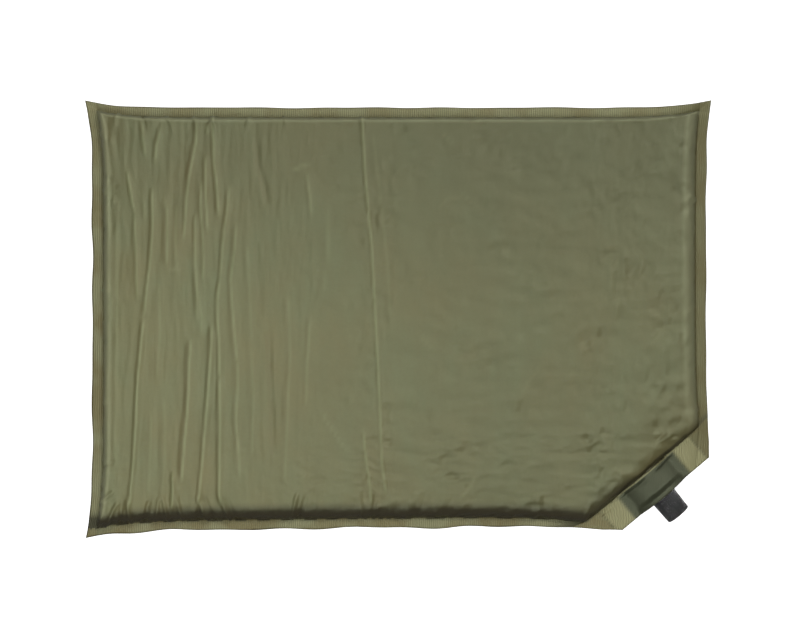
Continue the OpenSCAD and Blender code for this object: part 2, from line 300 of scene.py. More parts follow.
# Each crease in the fabric: its crest's points (x, y), how wide its faces are to the crest's right and
# to its left, and its height. A crease with a negative height is a valley.
CREASES = [
    ([(-216, 121), (-213.5, 107), (-211, 92), (-208.5, 83)], 1.6, 2.8, 0.9),
    ([(-209.3, 84), (-208.5, 60), (-208, 34), (-207, 14)], 2.6, 4.0, 0.55),
    ([(-203.5, 159), (-202.6, 142), (-200, 127)], 2.2, 6.0, 0.6),
    ([(-206, 104), (-202, 90), (-200, 76)], 2.0, 2.5, 0.25),
    ([(-188, 154), (-192, 138), (-193, 122)], 3.4, 3.5, 0.65),
    ([(-195.5, 106), (-195, 75), (-197, 46), (-200, 22), (-202, 0)], 2.6, 4.2, 0.7),
    ([(-202, 2), (-204.5, -22), (-207, -48), (-208.3, -80), (-210.3, -112), (-212.3, -135), (-214, -153)],
     2.6, 3.8, 0.95),
    ([(-187, 98), (-183.5, 88), (-183.2, 66), (-183.8, 40)], 5.0, 3.4, 0.5),
    ([(-160, 160), (-160.5, 142), (-163, 128), (-166.4, 112), (-168, 96), (-169, 80), (-170.6, 60)],
     4.2, 5.2, 0.65),
    ([(-161, 86), (-161, 45), (-159.5, 20), (-159.5, -4)], 3.6, 3.4, 0.55),
    ([(-156, 112), (-157, 90), (-155, 64), (-154.5, 45), (-155.5, 28)], 2.8, 6.5, 0.55),
    ([(-159, 22), (-156, 2), (-157, -14)], 2.6, 5.0, 0.3),
    ([(-153, 132), (-153, 110), (-152.5, 90), (-151, 68)], 3.2, 4.0, 0.6),
    ([(-148, 160), (-146.6, 142), (-146.5, 125), (-144.5, 110), (-143, 90), (-142, 80)], 2.8, 4.8, 0.75),
    ([(-154.5, 157), (-151, 150), (-148.6, 145)], 1.4, 1.6, 0.6),
    ([(-134, 108), (-135.5, 90), (-138.5, 70), (-140, 50), (-141.5, 30)], 3.0, 3.6, 0.55),
    ([(-141.5, 34), (-143.8, 15), (-143.5, 0), (-142.4, -16), (-142, -48)], 3.0, 6.0, 0.8),
    ([(-142, -44), (-141.5, -80), (-141.8, -112), (-142, -135), (-141.3, -150)], 3.0, 5.4, 0.9),
    ([(-128.5, 77), (-130, 55), (-133, 32), (-131.5, 8), (-129.5, -16), (-127.5, -36)], 4.2, 5.0, 0.55),
    ([(-127.5, -30), (-127.5, -56), (-129, -80), (-127, -100), (-125.5, -128)], 4.6, 6.0, 0.5),
    ([(-148, -2), (-149, -30), (-150.5, -50), (-153, -80), (-155, -106), (-157, -128), (-158.8, -150)],
     3.2, 5.2, 0.85),
    ([(-164.5, -14), (-166, -35), (-166.5, -56), (-167.5, -75), (-169.5, -96), (-171, -115), (-172, -131)],
     5.0, 8.5, 0.9),
    ([(-179.6, -119), (-179.2, -135), (-180.4, -154)], 1.6, 6.5, 1.3),
    ([(-174.6, -129), (-173.6, -138)], 1.4, 2.0, 0.5),
    ([(-103, -6), (-101, -48), (-99.5, -80), (-98.5, -112)], 4.2, 2.6, -0.5),
    ([(-112.5, 144), (-110.5, 120), (-106, 105), (-102, 90)], 4.0, 3.2, -0.6),
    ([(-112.5, 62), (-112, 40), (-110, 16), (-109.5, -2)], 3.4, 2.8, -0.4),
    ([(-86, 118.5), (-78, 121), (-68, 122)], 1.8, 1.8, 0.45),
    ([(-72.6, 119), (-70, 98), (-68.7, 80)], 3.0, 3.6, 0.4),
    ([(-70, 4), (-71, -20), (-72.5, -36), (-73, -70)], 3.2, 3.6, 0.4),
    ([(-57, 95), (-56, 60), (-58, 20)], 5.0, 4.0, 0.25),
    ([(-87, 20), (-86, -30), (-88, -80), (-90, -130)], 5.0, 5.0, 0.3),
    ([(-120, 60), (-118, 20), (-116, -20)], 4.0, 4.0, 0.25),
    ([(-117, -20), (-115, -60), (-116, -110)], 5.0, 4.0, 0.3),
    ([(-224, 76), (-223.4, 20), (-224, -60), (-225, -120)], 7.0, 2.0, 0.22),
    ([(-176, 92), (-177, 60), (-175, 34)], 3.0, 5.0, 0.3),
    ([(-190, 30), (-189, -10), (-192, -50)], 7.0, 5.0, 0.3),
    ([(-196, -70), (-197, -110), (-199, -142)], 8.0, 6.0, 0.3),
    ([(-186, -60), (-185, -100), (-187, -140)], 6.0, 5.0, 0.25),
    ([(-161, -1), (-152, -0.5)], 1.6, 1.4, 0.4),
    ([(-184, 40.5), (-171, 39.5)], 1.6, 1.5, 0.5),
    ([(-201.5, 14.5), (-197.5, 14)], 1.4, 1.4, 0.5),
    ([(-203, -1), (-199.5, -1.2)], 1.4, 1.4, 0.5),
    ([(-29, 170), (-26, 112), (-21, 60), (-18.5, 10), (-17, -20), (-14.5, -70), (-13, -112), (-9.5, -140)],
     1.7, 1.9, 0.6),
    ([(-28, -86), (-25.4, -112), (-22.6, -130), (-21, -150)], 1.7, 1.9, 0.6),
    ([(-26, -119), (-18, -121), (-10, -120)], 2.0, 1.6, -0.35),
    ([(-10, -110), (-8, -116)], 1.6, 2.2, 0.5),
    ([(-20, 150), (-14, 96), (-9, 50), (-6, 0)], 5.0, 2.5, 0.14),
    ([(63, -122), (56, -134), (46, -146)], 2.2, 3.4, 0.9),
    ([(132, 160), (136.5, 143)], 1.6, 2.4, 0.5),
    ([(34, 152), (40, 142), (46, 136)], 2.0, 2.6, 0.45),
    ([(57, 150), (63, 143)], 1.6, 2.2, 0.45),
    ([(101, 52.5), (120, 53.5), (140, 54)], 1.5, 2.0, -0.35),
    ([(160, 58), (172, 57), (178, 60)], 2.0, 1.8, 0.5),
    ([(176, 52), (170, 36), (171, 22)], 2.6, 3.2, 0.35),
    ([(176, 22), (174, 8), (172, -4)], 2.2, 2.8, 0.3),
    ([(48, 66), (62, 64), (80, 65)], 1.6, 2.0, -0.25),
    ([(2, 40), (14, 43)], 1.6, 2.0, -0.35),
    ([(36, -24), (46, -26), (56, -29), (66, -28)], 1.8, 2.2, -0.45),
    ([(14, -6), (20, -18), (30, -26)], 2.2, 2.6, 0.4),
    ([(24, -10), (34, -14), (42, -12)], 2.0, 2.0, -0.3),
    ([(6, -30), (14, -37)], 2.0, 2.2, -0.3),
    ([(14, -74), (24, -76)], 2.0, 2.0, -0.4),
    ([(2, -52), (12, -56), (20, -52)], 2.2, 2.2, -0.3),
    ([(32, -76), (60, -72), (96, -70), (130, -71), (180, -75)], 1.8, 2.4, -0.3),
    ([(110, -105), (140, -107), (178, -106)], 1.8, 2.2, -0.25),
    ([(96, -66), (104, -48), (116, -34)], 3.0, 3.0, 0.25),
    ([(186, -24), (200, -20), (210, -10)], 2.6, 2.6, 0.3),
    ([(-62, -72), (-52, -88), (-40, -106)], 2.4, 2.6, 0.3),
    ([(-48, 46), (-40, 36), (-30, 34)], 2.6, 2.2, -0.3),
    ([(30, 84), (38, 96), (52, 98), (62, 90)], 3.4, 3.4, 0.35),
    ([(38, 108), (52, 106)], 1.8, 1.8, -0.25),
    ([(62, 108), (76, 107)], 1.8, 1.8, -0.25),
    ([(96, 80), (112, 76), (124, 80)], 2.4, 2.0, -0.2),
    ([(203, -100), (211, -91), (217, -87), (224, -88)], 1.6, 1.9, -0.8),
    ([(168, -117), (178, -122), (192, -121)], 3.0, 2.6, 0.5),
]
# Creases in the wall of the cut corner, written the same way.
CORNER_TUCKS = [
    ([(203, -121.5), (211, -113.5), (220.5, -105)], 1.9, 1.6, 2.6),
    ([(178, -145), (188, -137), (200, -126)], 1.5, 1.6, 1.7),
    ([(160, -158.5), (167, -153.5), (174, -149)], 1.6, 1.8, 2.2),
    ([(166, -149), (178, -140), (190, -130), (200, -121)], 3.0, 3.4, -1.2),
    ([(204, -117), (210, -111), (218, -103)], 2.0, 2.2, -1.3),
    ([(222, -100), (227, -95), (233, -90)], 2.4, 2.4, -1.3),
    ([(203, -100), (213, -94), (224, -88)], 2.0, 2.6, 1.2),
    ([(227, -101), (231, -96), (237, -92)], 1.6, 1.6, 1.4),
    ([(180, -128), (190, -124), (199, -119)], 2.6, 2.4, 1.0),
    ([(232.5, -79), (236, -85)], 1.6, 1.6, 0.9),
]

# How much higher than listed the puckers stand, and their two faces as shares of their width.
PUCKER_SCALE = 1.25
LOW_FACE, HIGH_FACE = 0.5625, 1.0125
# Each pucker up a wall: its side, its x or y at the wall's foot, its slant (mm along the side by the
# top of the wall), how far it runs on over the flat, its width and its height.
PUCKERS = [
    (LOWER, -236, 10, 6, 3.0, 1.6),
    (LOWER, -222, 2, 8, 3.0, -1.2),
    (LOWER, -212, -3, 12, 3.0, 1.5),
    (LOWER, -203, 4, 6, 3.5, -1.2),
    (LOWER, -194, 3, 9, 3.0, 1.2),
    (LOWER, -182, -4, 14, 3.0, 1.4),
    (LOWER, -170, -5, 9, 3.0, 1.2),
    (LOWER, -161, 3, 6, 2.8, -1.0),
    (LOWER, -150, -8, 10, 2.6, 1.5),
    (LOWER, -144, -8, 8, 2.6, -1.2),
    (LOWER, -132, -8, 10, 2.6, 1.4),
    (LOWER, -127, -8, 6, 2.6, -0.9),
    (LOWER, -86, 4, 12, 3.0, 1.4),
    (LOWER, -80, 5, 9, 3.0, -1.0),
    (LOWER, -60, -3, 4, 4.0, 0.6),
    (LOWER, -28, -2, 14, 3.0, 1.0),
    (LOWER, -20, 1, 8, 2.6, -0.8),
    (LOWER, 2, 8, 8, 3.0, 1.2),
    (LOWER, 10, 10, 12, 3.0, -1.2),
    (LOWER, 24, 12, 6, 2.8, 1.3),
    (LOWER, 40, 14, 18, 3.5, 0.9),
    (LOWER, 92, -4, 4, 2.6, 1.0),
    (LOWER, 108, 2, 9, 2.6, 1.4),
    (LOWER, 113, 4, 6, 2.6, -1.0),
    (LOWER, 146, 6, 5, 3.0, 0.9),
    (LOWER, 163, 8, 5, 3.0, 0.9),
    (UPPER, -222, -3, 10, 3.0, 1.0),
    (UPPER, -204, 2, 14, 2.6, -1.0),
    (UPPER, -186, 5, 12, 3.0, 0.9),
    (UPPER, -164, 3, 10, 3.0, 0.9),
    (UPPER, -150, 4, 14, 2.6, 1.2),
    (UPPER, -144, -6, 12, 2.6, 1.0),
    (UPPER, -118, -2, 7, 3.5, 0.7),
    (UPPER, -92, 3, 6, 3.0, 0.6),
    (UPPER, -30, 2, 9, 3.0, 0.8),
    (UPPER, 36, -3, 8, 3.0, 0.7),
    (UPPER, 94, 3, 10, 3.0, 0.9),
    (UPPER, 150, -2, 6, 3.0, 0.6),
    (UPPER, 214, 4, 7, 3.0, 0.8),
    (LEFT, -150, 10, 6, 3.0, 1.3),
    (LEFT, -120, 6, 4, 3.0, -0.9),
    (LEFT, -64, -4, 3, 3.0, 1.0),
    (LEFT, -20, 4, 3, 3.0, -0.8),
    (LEFT, 24, -3, 4, 3.0, 0.8),
    (LEFT, 70, 4, 3, 3.0, -0.8),
    (LEFT, 106, -12, 8, 3.0, 1.3),
    (LEFT, 118, -10, 8, 3.0, -1.2),
    (LEFT, 152, -10, 6, 3.0, 1.2),
    (RIGHT, -70, -8, 3, 3.0, 1.0),
    (RIGHT, -40, 5, 4, 3.0, -0.9),
    (RIGHT, 10, -5, 3, 3.0, 0.9),
    (RIGHT, 60, 6, 4, 3.0, -0.9),
    (RIGHT, 92, 10, 4, 3.0, 1.2),
    (RIGHT, 98, -8, 4, 3.0, 1.0),
    (RIGHT, 130, 6, 3, 3.0, -0.9),
]


def crease_field(creases, x, y):
    """The height of every crease at each point of the top, as two flat faces that meet at its crest,
    and how much painted highlight each point gets on a crest and painted shade on the face to a crease's
    right."""
    total, crest, lee_shade = np.zeros_like(x), np.zeros_like(x), np.zeros_like(x)
    for points, right_face, left_face, height in creases:
        p = np.array(points, float)
        margin = max(right_face, left_face) + 1
        low, high = p.min(0) - margin, p.max(0) + margin
        near = (x > low[0]) & (x < high[0]) & (y > low[1]) & (y < high[1])
        px, py = x[near], y[near]
        best, side, share = np.full(px.shape, 1e9), np.ones(px.shape), np.zeros(px.shape)
        lengths = np.linalg.norm(np.diff(p, axis=0), axis=1)
        run = np.concatenate([[0], np.cumsum(lengths)])
        for k, (d, length) in enumerate(zip(np.diff(p, axis=0), lengths)):
            dx, dy = px - p[k, 0], py - p[k, 1]
            t = np.clip((dx * d[0] + dy * d[1]) / length**2, 0, 1)
            away = np.hypot(dx - t * d[0], dy - t * d[1])
            closer = away < best
            best = np.where(closer, away, best)
            side = np.where(closer, np.sign(dy * d[0] - dx * d[1]), side)
            share = np.where(closer, (run[k] + t * length) / run[-1], share)
        ends = smooth(np.minimum(share, 1 - share) * run[-1] / 9 + 0.05)
        face = np.clip(1 - best / np.where(side < 0, right_face, left_face), 0, 1)
        total[near] += CREASE_SCALE * height * ends * face
        strength = min(1, abs(height) / 0.8) * ends
        if height > 0:
            crest[near] = np.maximum(crest[near], strength * np.exp(-(((best - 0.4) / 0.9) ** 2)))
        lee_shade[near] = np.maximum(lee_shade[near], strength * face * (side < 0))
    return total, crest, lee_shade


def pucker_field(insets_by_side, turns, x, y):
    """The height of every pucker at each point, along the surface's own normal."""
    total = np.zeros_like(x)
    for side, place, slant, over, width, size in PUCKERS:
        inset, turn = insets_by_side[side], turns[side]
        s = x if side in (LOWER, UPPER) else y
        up = turn / (math.pi / 2)
        past = past_shoulder(side, inset)
        axis = place + slant * (up + past / 15)
        grow = smooth(up / 0.25) * smooth(1 - past / over)
        face = np.where(s < axis, LOW_FACE, HIGH_FACE) * width
        total += PUCKER_SCALE * size * grow * np.clip(1 - np.abs(s - axis) / face, 0, 1) ** 1.2
    return total


# The fabric's fine relief: each noise's seed, its wavelength and its stretch in x and y.
MOTTLE = Noise(11, 7.0, (1.4, 1.0))
CRINKLE = Noise(12, 15.0, (1.5, 1.0))
BROAD = Noise(13, 80.0)
STREAK = Noise(14, 6.0, (1.0, 9.0))
WALL_CRINKLE = Noise(15, 7.0)
PATCHES = Noise(16, 55.0)
STRETCH = Noise(17, 10.0, (5.0, 1.0))


def crinkle_field(x, y):
    """Fine relief over the top: streaks at the left, mottled crinkles towards the right."""
    left = smooth((-20 - x) / 90)
    patches = 0.5 + 0.5 * np.clip(PATCHES(x, y) * 1.3, -1, 1)
    streaks = 0.13 * STREAK(x, y) * (0.15 + 0.85 * left)
    creased = 0.22 * (0.5 - np.abs(CRINKLE(x, y))) * patches * (1.15 - 0.6 * left)
    mottle = 0.06 * MOTTLE(x, y) * (0.4 + 0.6 * patches)
    stretch = 0.07 * STRETCH(x, y) * (1 - left)
    fine = (1.1 + 1.8 * (1 - left)) * (creased + mottle + stretch)
    return 0.8 * streaks + fine + 0.2 * BROAD(x, y)


WELD_WAVES = {i: waves_along(30 + i, (41, 63, 97, 150)) for i in range(5)}
EDGE_WAVES = {i: waves_along(40 + i, (48, 77, 130)) for i in range(5)}
# How far each side's weld waves up and down, and in and out.
WELD_LOOSE = (
    (RIGHT, 0.9, 0.3),
    (UPPER, 0.8, 0.3),
    (LEFT, 0.9, 0.5),
    (LOWER, 1.2, 0.8),
    (CUT, 0.0, 0.0),
)
# How much painted light brightens these sides' walls.
PAINTED_WALL_LIGHTS = ((RIGHT, 0.3), (UPPER, 0.6), (LEFT, 0.5))
# Painted shade at the foot of each side's wall: how far in from its weld it goes, and how dark it is.
FOOT_SHADE = (
    (RIGHT, 3.0, 0.05),
    (UPPER, 2.0, 0.1),
    (LEFT, 2.5, 0.1),
    (LOWER, 14.0, 1.6),
    (CUT, 4.0, 0.5),
)
# Painted shade in the hollow along the cut corner: its width at its right end, how much wider it gets
# towards its lower end, where along the side it starts to, over what length, and how dark it is.
HOLLOW_W, HOLLOW_MORE, HOLLOW_AT, HOLLOW_RUN, HOLLOW_DARK = 5.0, 13.0, 5.0, 45.0, 0.75
# Half lengths along the cut side: of the plain strip, of where the fans start, and of their ends.
STRIP_HALF, FAN_FROM, FAN_TO = 31.0, 28.0, 47.0
# How the weld hangs at each corner: its height over the plane of the weld, and its reach.
EARS = [((UPPER, LEFT), 3.0, 26.0), ((RIGHT, UPPER), 4.0, 30.0), ((LEFT, LOWER), -2.0, 30.0)]


def weld_shape(x, y, z, insets_by_side):
    """Lets the weld wave up and down, and its outer edge in and out."""
    for i, size, edge in WELD_LOOSE:
        inset = insets_by_side[i]
        t, n = along(i), normal(i)
        s = x * t[0] + y * t[1]
        out = np.clip(1 - inset / SIDES[i][WELD], 0, 1)
        clear = 1.0
        for j in NEXT_TO[i]:
            clear = clear * smooth((insets_by_side[j] - 4) / 30)
        z = z + size * out**1.3 * WELD_WAVES[i](s) * clear
        move = edge * out * EDGE_WAVES[i](s) * clear
        x, y = x + move * n[0], y + move * n[1]
    for corner, height, reach in EARS:
        away = np.hypot(x - CORNERS[corner][0], y - CORNERS[corner][1])
        in_weld = np.maximum(
            np.clip(1 - insets_by_side[corner[0]] / SIDES[corner[0]][WELD], 0, 1),
            np.clip(1 - insets_by_side[corner[1]] / SIDES[corner[1]][WELD], 0, 1),
        )
        z = z + height * in_weld * np.exp(-((away / reach) ** 2) * 2)
    return x, y, z


def base_shape(x, y):
    """The plain cover over each grid point: its place, its insets from the sides, its turns up their
    walls, its climb as a share of the rise, and its place beside the valve (a, s)."""
    by_side = insets(x, y)
    turns = {i: wall_turn(i, by_side[i]) for i in range(4)}
    px, py, by_side[CUT], turns[CUT] = cut_slide(x, y)
    short = sum((1 - wall_climb(i, turns[i])) ** 2 for i in range(5))
    climb = np.maximum(1 - np.sqrt(short), 0)
    soft = sum(np.exp(-past_shoulder(i, by_side[i]) / SAG_REACH) for i in range(5))
    z = COVER_T + RISE * climb - SAG * climb**4 * np.minimum(soft, SAG_MOST)
    lift, a, s = valve_lift(px, py)
    z = np.maximum(z, lift + COVER_T)
    # The pad's wall leans out over the strip of the cut corner, as an air-filled edge does.
    lean = CUT_LEAN * np.sin(2 * turns[CUT]) * (turns[CUT] > 0) * smooth((60 - np.abs(s)) / 20)
    n4 = normal(CUT)
    px, py = px + lean * n4[0], py + lean * n4[1]
    for i in (RIGHT, UPPER, LEFT, LOWER):
        pull = pulled(i, by_side[i], turns[i], by_side)
        pull = pull * np.exp(-((past_shoulder(i, by_side[i]) / PULL_FADE) ** 2))
        n = normal(i)
        px, py = px - pull * n[0], py - pull * n[1]
    px, py, z = weld_shape(px, py, z, by_side)
    return px, py, z, by_side, turns, climb, a, s


def unrolled(x, y, turns):
    """The point's place on the cloth when it lies flat, in metres, for the weave."""
    u, v = x.copy(), y.copy()
    for i, axis, sign in ((RIGHT, 0, 1), (LEFT, 0, -1), (UPPER, 1, 1), (LOWER, 1, -1)):
        shoulder, arc = SIDES[i][SHOULDER], arc_of(i)
        below = 1 - turns[i] / (math.pi / 2)
        extra = arc * below - shoulder * np.cos(turns[i])
        if axis == 0:
            u = u + sign * extra
        else:
            v = v + sign * extra
    return u * MM, v * MM


def set_float(mesh, name, values):
    """Gives each vertex a number that the material reads by its name."""
    layer = mesh.attributes.new(name, "FLOAT", "POINT")
    layer.data.foreach_set("value", np.asarray(values, np.float32))


def read_vectors(items, name, count):
    values = np.zeros(count * 3)
    items.foreach_get(name, values)
    return values.reshape(-1, 3)


def band(s, half, soft):
    """1 near the valve's middle along the cut side, down to 0 at half over a soft length."""
    return smooth((half - np.abs(s)) / soft)


def fabric_relief(x, y, z, by_side, turns, climb, a, s, top):
    """The folds and puckers of one cover along its own normals, and where the top gets a painted
    highlight on a crest and painted shade on a crease's face."""
    crest, lee_shade = np.zeros_like(x), np.zeros_like(x)
    relief = pucker_field(by_side, turns, x, y) * (1.0 if top else 0.7)
    on_wall = smooth(climb / 0.2) * smooth((1.02 - climb) / 0.5)
    # The noise moves on with the height, so that it doesn't run straight up a wall.
    relief = relief + 0.35 * WALL_CRINKLE(x + 3 * z, y + 3 * z) * on_wall
    flat = smooth((climb - 0.55) / 0.4)
    if top:
        height, crest, lee_shade = crease_field(CREASES, x, y)
        # The crests' painted highlight is strongest in the left half, which is folded over when the pad is
        # stored.
        crest = crest * flat * (0.3 + 0.7 * smooth((30 - x) / 40))
        lee_shade = lee_shade * flat
        relief = relief + (height + crinkle_field(x, y)) * flat
    else:
        relief = relief + (0.12 * CRINKLE(x, y) - 0.1) * flat
    clear_of_boat = 1 - smooth((a + 30) / 6) * band(s, 34, 8)
    return relief * np.clip(climb * 4, 0, 1) * clear_of_boat, crest, lee_shade


def foot_shade(by_side, s):
    """How much painted shade there is at the foot of each wall and in the cut corner's hollow."""
    shade = np.zeros_like(s)
    for i, reach, weight in FOOT_SHADE:
        past = by_side[i] - SIDES[i][WELD]
        clear = 1.0 if i == CUT else smooth((by_side[CUT] - 22) / 4)
        shade = np.maximum(shade, weight * clear * (past > 0) * smooth(1.15 - past / reach))
    past = by_side[CUT] - SIDES[CUT][WELD]
    hollow = HOLLOW_W + HOLLOW_MORE * smooth((HOLLOW_AT - s) / HOLLOW_RUN)
    return np.maximum(shade, HOLLOW_DARK * smooth(1.1 - past / hollow) * (past > 0.5))


def painted_wall_light(by_side):
    """How much painted light there is on the walls of three sides."""
    shade = np.zeros_like(by_side[CUT])
    for i, weight in PAINTED_WALL_LIGHTS:
        past = by_side[i] - SIDES[i][WELD]
        on_this_wall = smooth(past / 1.5) * smooth((SIDES[i][SHOULDER] - past) / 4)
        shade = np.maximum(shade, weight * on_this_wall * smooth((by_side[CUT] - 26) / 8))
    return shade


def mark_fabric(mesh, by_side, s, crest, lee_shade):
    """Tells the fabric's material where the welds, the strip and the fans are, and where shade and
    highlights are painted.
    """
    edge_inset = np.minimum.reduce([by_side[i] for i in range(5)])
    in_weld = [smooth((SIDES[i][WELD] + 0.6 - by_side[i]) / 1.2) for i in range(4)]
    die = smooth((SIDES[CUT][WELD] + 0.5 - by_side[CUT]) / 1.0)
    set_float(mesh, "weld", np.maximum(np.maximum.reduce(in_weld), die))
    set_float(mesh, "edge", smooth((1.2 - edge_inset) / 1.2))
    set_float(mesh, "strip", die * band(s, STRIP_HALF, 4))
    set_float(mesh, "fan", die * smooth((np.abs(s) - FAN_FROM) / 3) * band(s, FAN_TO, 1.0))
    set_float(mesh, "fan_end", die * np.exp(-(((np.abs(s) - FAN_TO + 0.5) / 0.7) ** 2)))
    # Painted shade and painted light: at the walls' feet, on three walls, on the crests and on the
    # creases' faces.
    set_float(mesh, "foot", foot_shade(by_side, s))
    set_float(mesh, "pale", painted_wall_light(by_side))
    set_float(mesh, "crest", crest)
    set_float(mesh, "lee_shade", lee_shade)
    set_float(mesh, "cut_inset", np.clip(by_side[CUT], 0, 60))
    set_float(mesh, "cut_along", np.clip(s, -60, 60))


def lay_flat_map(mesh, gx, gy, turns):
    """A UV map in metres along the cloth, for the weave."""
    u, v = unrolled(gx, gy, turns)
    layer = mesh.uv_layers.new(name="flat")
    loops = np.zeros(len(mesh.loops), np.int32)
    mesh.loops.foreach_get("vertex_index", loops)
    layer.data.foreach_set("uv", np.stack([u, v], axis=1)[loops].astype(np.float32).ravel())


def thicken(cover):
    """Gives a cover its fabric's thickness, on its inner side."""
    thick = cover.modifiers.new("fabric", "SOLIDIFY")
    thick.thickness = COVER_T * MM
    thick.offset = -1
    thick.use_even_offset = False


def make_cover(name, top, pitch_x, pitch_y, weld_steps, wall_steps):
    """One fabric cover as a mesh of its outer face, thickened inwards."""
    mesh = flat_grid(pitch_x, pitch_y, weld_steps, wall_steps)
    mesh.name = name
    count = len(mesh.vertices)
    grid = read_vectors(mesh.vertices, "co", count)
    gx, gy = grid[:, 0].copy(), grid[:, 1].copy()
    x, y, z, by_side, turns, climb, a, s = base_shape(gx, gy)
    shape = np.stack([x, y, z], axis=1)
    mesh.vertices.foreach_set("co", shape.ravel())
    mesh.update()
    normals = read_vectors(mesh.vertices, "normal", count)
    relief, crest, lee_shade = fabric_relief(x, y, z, by_side, turns, climb, a, s, top)
    shape = shape + normals * relief[:, None]
    if top:
        # Straight up, because the wall is too steep here for its own normals.
        shape[:, 2] += crease_field(CORNER_TUCKS, x, y)[0] * smooth((by_side[CUT] - 18.5) / 2)
        shape[:, 2] += HALF_T
    else:
        # The lower cover shares the weld's waves, so that the two stay together there.
        waved = np.where(climb <= 0, z - COVER_T - valve_lift(x, y)[0], 0)
        shape[:, 2] = np.maximum(HALF_T - shape[:, 2] + 2 * waved, 0.0)
    mesh.vertices.foreach_set("co", (shape * MM).ravel())
    if not top:
        mesh.flip_normals()
    lay_flat_map(mesh, gx, gy, turns)
    mark_fabric(mesh, by_side, s, crest, lee_shade)
    mesh.polygons.foreach_set("use_smooth", np.ones(len(mesh.polygons), bool))
    mesh.update()
    cover = bpy.data.objects.new(name, mesh)
    bpy.context.scene.collection.objects.link(cover)
    thicken(cover)
    return cover


# --- Materials ---


class Build:
    """A few calls that keep node trees short."""

    def __init__(self, name):
        self.material = bpy.data.materials.new(name)
        self.material.use_nodes = True
        self.tree = self.material.node_tree
        self.shader = self.tree.nodes["Principled BSDF"]

    def node(self, kind, **settings):
        n = self.tree.nodes.new(kind)
        for key, value in settings.items():
            setattr(n, key, value)
        return n

    def link(self, value, socket):
        if isinstance(value, bpy.types.NodeSocket):
            self.tree.links.new(value, socket)
        else:
            socket.default_value = value

    def math(self, operation, *values, clamp=False):
        n = self.node("ShaderNodeMath", operation=operation, use_clamp=clamp)
        for k, v in enumerate(values):
            self.link(v, n.inputs[k])
        return n.outputs[0]

    def mix(self, factor, a, b):
        """Colour a, with colour b over it by the factor."""
        n = self.node("ShaderNodeMix", data_type="RGBA")
        self.link(factor, n.inputs["Factor"])
        self.link(a, n.inputs["A"])
        self.link(b, n.inputs["B"])
        return n.outputs["Result"]

    def noise(self, vector, scale, detail=2.0, rough=0.5):
        n = self.node("ShaderNodeTexNoise")
        self.link(vector, n.inputs["Vector"])
        n.inputs["Scale"].default_value = scale
        n.inputs["Detail"].default_value = detail
        n.inputs["Roughness"].default_value = rough
        return n.outputs["Fac"]

    def scaled(self, vector, x, y):
        n = self.node("ShaderNodeMapping")
        self.link(vector, n.inputs["Vector"])
        n.inputs["Scale"].default_value = (x, y, 1.0)
        return n.outputs["Vector"]

    def attribute(self, name):
        return self.node("ShaderNodeAttribute", attribute_name=name).outputs["Fac"]

    def ramp(self, value, low, high, to_low=0.0, to_high=1.0):
        """A value that goes straight from to_low to to_high between low and high."""
        n = self.node("ShaderNodeMapRange")
        self.link(value, n.inputs["Value"])
        n.inputs["From Min"].default_value = low
        n.inputs["From Max"].default_value = high
        n.inputs["To Min"].default_value = to_low
        n.inputs["To Max"].default_value = to_high
        return n.outputs["Result"]

    def bump(self, height, strength, distance, normal=None):
        n = self.node("ShaderNodeBump")
        self.link(height, n.inputs["Height"])
        n.inputs["Strength"].default_value = strength
        n.inputs["Distance"].default_value = distance
        if normal is not None:
            self.link(normal, n.inputs["Normal"])
        return n.outputs["Normal"]

    def coat(self, **sockets):
        """Sets the shader's inputs and returns the material."""
        for key, value in sockets.items():
            self.link(value, self.shader.inputs[key.replace("_", " ")])
        return self.material


def rgb(r, g, b):
    """A colour from its 0 to 255 screen values."""
    linear = [((v / 255 + 0.055) / 1.055) ** 2.4 if v > 10 else v / 255 / 12.92 for v in (r, g, b)]
    return (*linear, 1.0)


# The weave's thread and the welding bar's ribs, in metres along the cloth.
THREAD_M = 0.00036
RIB_M = 0.0017
# Lines of painted shade and painted highlight behind the cut corner's strip, this far in from its edge.
SHADE_LINE, HIGHLIGHT_LINE = 26.0, 23.0


class Cloth(Build):
    """A cover's node tree, with its cloth coordinates u and v in metres. Tone darkens its colours."""

    def __init__(self, name, tone):
        super().__init__(name)
        self.tone = tone
        self.flat = self.node("ShaderNodeUVMap", uv_map="flat").outputs["UV"]
        split = self.node("ShaderNodeSeparateXYZ")
        self.link(self.flat, split.inputs[0])
        self.u, self.v = split.outputs["X"], split.outputs["Y"]

    def toned(self, r, g, b):
        return tuple(c * self.tone for c in rgb(r, g, b)[:3]) + (1.0,)

    def share(self, name, most, clamp=False):
        """A mark of the fabric, weakened to at most a share."""
        return self.math("MULTIPLY", self.attribute(name), most, clamp=clamp)

    def wave(self, place, length):
        return self.math("SINE", self.math("MULTIPLY", place, 2 * math.pi / length))

    def near_line(self, inset, line, core, end, most):
        """How close an inset is to a line: most within core of it, and 0 past end."""
        away = self.math("ABSOLUTE", self.math("SUBTRACT", inset, line))
        return self.ramp(away, core, end, most, 0.0)


